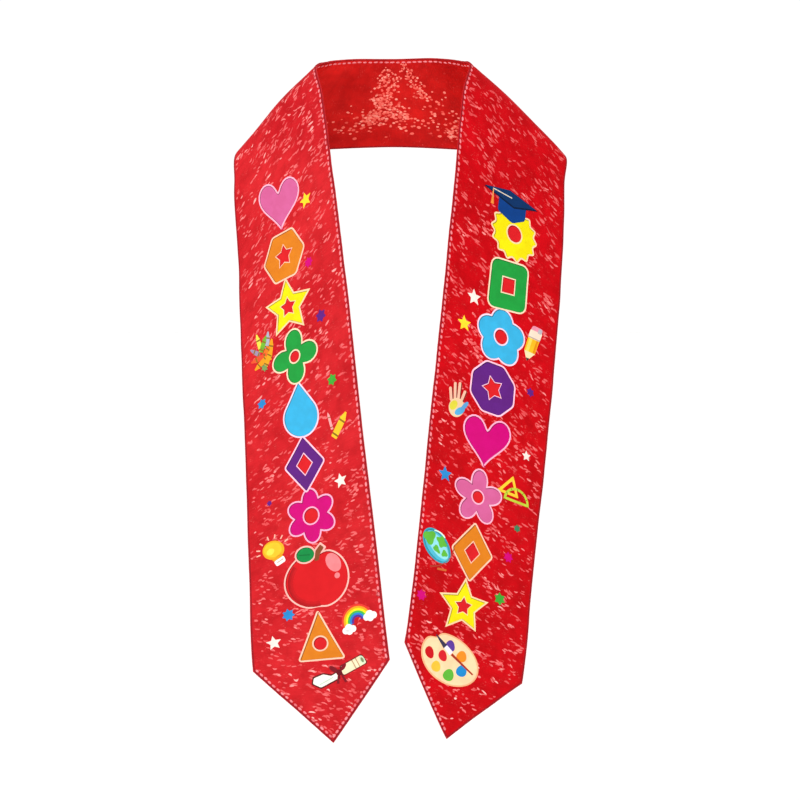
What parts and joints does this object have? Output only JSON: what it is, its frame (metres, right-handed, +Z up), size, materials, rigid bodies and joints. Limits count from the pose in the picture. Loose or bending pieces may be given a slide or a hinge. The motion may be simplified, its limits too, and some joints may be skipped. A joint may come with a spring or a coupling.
{
  "type": "graduation stole",
  "caption": "Child's graduation stole in its worn form: one strip of cloth round the nape, over both shoulders and down the chest to pointed ends.",
  "frame": {"origin": "where the middle of the neck lining rests on the nape", "axes": "+Z up, +Y to the wearer's back, +X to the right for someone who faces the wearer"},
  "size_m": [0.3154, 0.1367, 0.6451],
  "materials": {
    "face_cloth": "bright red satin, printed with small pale glitter streaks",
    "lining_cloth": "deeper red satin with small round glints",
    "print_film": "smooth coloured print with a pale outline",
    "stitch_thread": "pale pink sewing thread"
  },
  "bodies": {
    "root": {"left_panel": "face_cloth", "right_panel": "face_cloth", "neck_band": "face_cloth", "neck_lining": "lining_cloth"}
  },
  "joints": []
}
